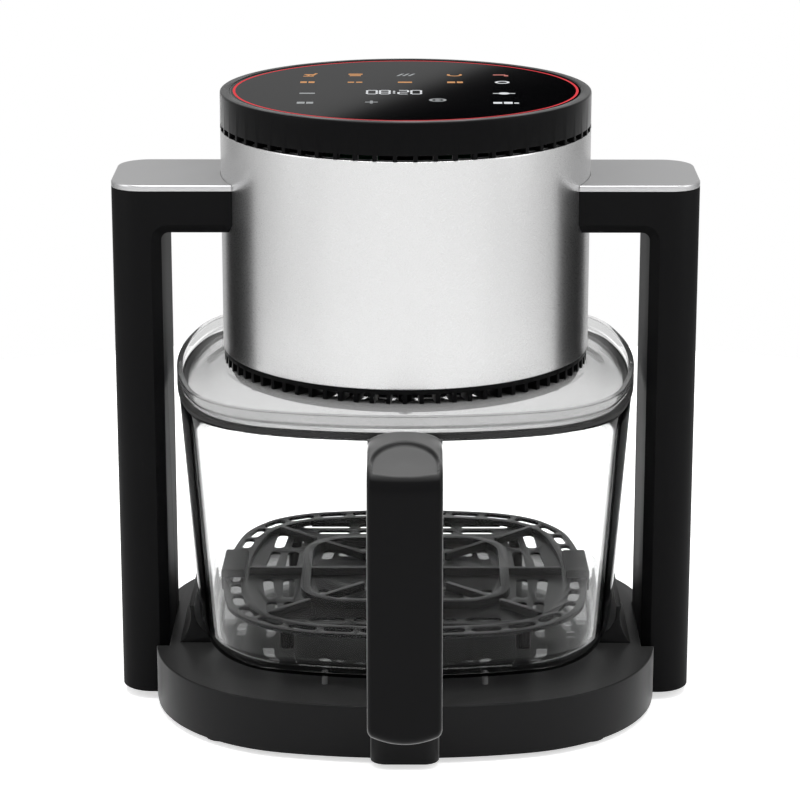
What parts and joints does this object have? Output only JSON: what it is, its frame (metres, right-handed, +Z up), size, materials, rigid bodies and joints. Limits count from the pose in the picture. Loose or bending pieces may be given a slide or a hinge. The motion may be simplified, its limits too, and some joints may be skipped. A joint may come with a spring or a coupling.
{
  "type": "air fryer oven",
  "caption": "Countertop air fryer oven: round steel head with a touch panel, held by side posts over a glass bowl that slides out by its handle, with a crisper rack inside.",
  "frame": {"origin": "centre of the footprint, on the surface that the feet stand on", "axes": "+Z up, -Y towards the user, out of the front where the handle is, +X to the user's right"},
  "size_m": [0.3058, 0.2896, 0.3257],
  "materials": {
    "black_plastic": "fine satin moulding, dense black",
    "black_coated_steel": "dark non-stick or powder coat",
    "steel_wrap": "fine satin with soft vertical reflections",
    "silver_plate": "bead-blasted satin with a bright edge",
    "zinc_steel": "plain rolled sheet",
    "screw_steel": "turned and bright",
    "rubber_black": "dull",
    "silicone": "soft and dull",
    "clear_glass": "clear and polished",
    "panel_glass": "black, polished",
    "light_guide": "red, glowing",
    "circuit_board": "green board",
    "display_window": "smoked window",
    "brass_springs": "bright wire",
    "inner_plastic": "heat-proof moulding",
    "insulation": "pressed fibre",
    "motor_steel": "grey",
    "heater_steel": "heat-tinted",
    "fan_alloy": "stamped sheet"
  },
  "bodies": {
    "stand": {"arm_bolts": "screw_steel", "base_cover": "black_coated_steel", "base_housing": "black_plastic", "base_screws": "screw_steel", "bowl_rests": "rubber_black", "control_glass": "panel_glass", "cord_gland": "rubber_black", "cover_gasket": "silicone", "digit_display": "display_window", "display_board": "circuit_board", "element_clips": "heater_steel", "fan_guard": "black_coated_steel", "glass_cover": "clear_glass", "guard_screws": "screw_steel", "head_cap": "black_plastic", "head_liner": "inner_plastic", "head_sleeve": "steel_wrap", "heat_reflector": "zinc_steel", "heating_element": "heater_steel", "insulation_ring": "insulation", "interlock_spring": "screw_steel", "interlock_switch": "inner_plastic", "left_arm_cap": "silver_plate", "left_bowl_guide": "black_plastic", "left_post": "black_plastic", "left_post_frame": "zinc_steel", "light_ring": "light_guide", "motor_bearings": "motor_steel", "motor_bracket": "zinc_steel", "motor_housing": "motor_steel", "post_screws": "screw_steel", "power_board": "circuit_board", "power_lead": "rubber_black", "rear_stop": "black_plastic", "right_arm_cap": "silver_plate", "right_bowl_guide": "black_plastic", "right_post": "black_plastic", "right_post_frame": "zinc_steel", "rubber_feet": "rubber_black", "temperature_probe": "heater_steel", "touch_springs": "brass_springs", "vent_ring": "black_plastic"},
    "bowl": {"glass_bowl": "clear_glass", "bowl_handle": "black_plastic", "handle_back": "black_plastic", "handle_insert": "zinc_steel", "handle_screws": "screw_steel", "handle_washers": "silicone", "handle_back_screws": "screw_steel"},
    "rack": {"crisper_rack": "black_coated_steel", "rack_bumpers": "rubber_black"},
    "fan": {"motor_shaft": "screw_steel", "motor_rotor": "motor_steel", "hot_air_fan": "fan_alloy", "cooling_fan": "inner_plastic", "fan_nut": "screw_steel"},
    "plunger": {"interlock_plunger": "black_plastic"}
  },
  "joints": [
    {"name": "bowl_slide", "type": "slide", "parent": "stand", "child": "bowl", "axis": [0, -1, 0], "range_m": [0, 0.26]},
    {"name": "rack_lift", "type": "slide", "parent": "bowl", "child": "rack", "axis": [0, 0, 1], "range_m": [0, 0.095]},
    {"name": "fan_spin", "type": "hinge", "parent": "stand", "child": "fan", "pos_m": [0, 0.0202, 0.24], "axis": [0, 0, 1], "continuous": true},
    {"name": "plunger_slide", "type": "slide", "parent": "stand", "child": "plunger", "axis": [0, -1, 0], "range_m": [0, 0.002]}
  ],
  "couplings": [
    {"joint": "plunger_slide", "follows": "bowl_slide", "ratio": 0.00769}
  ]
}
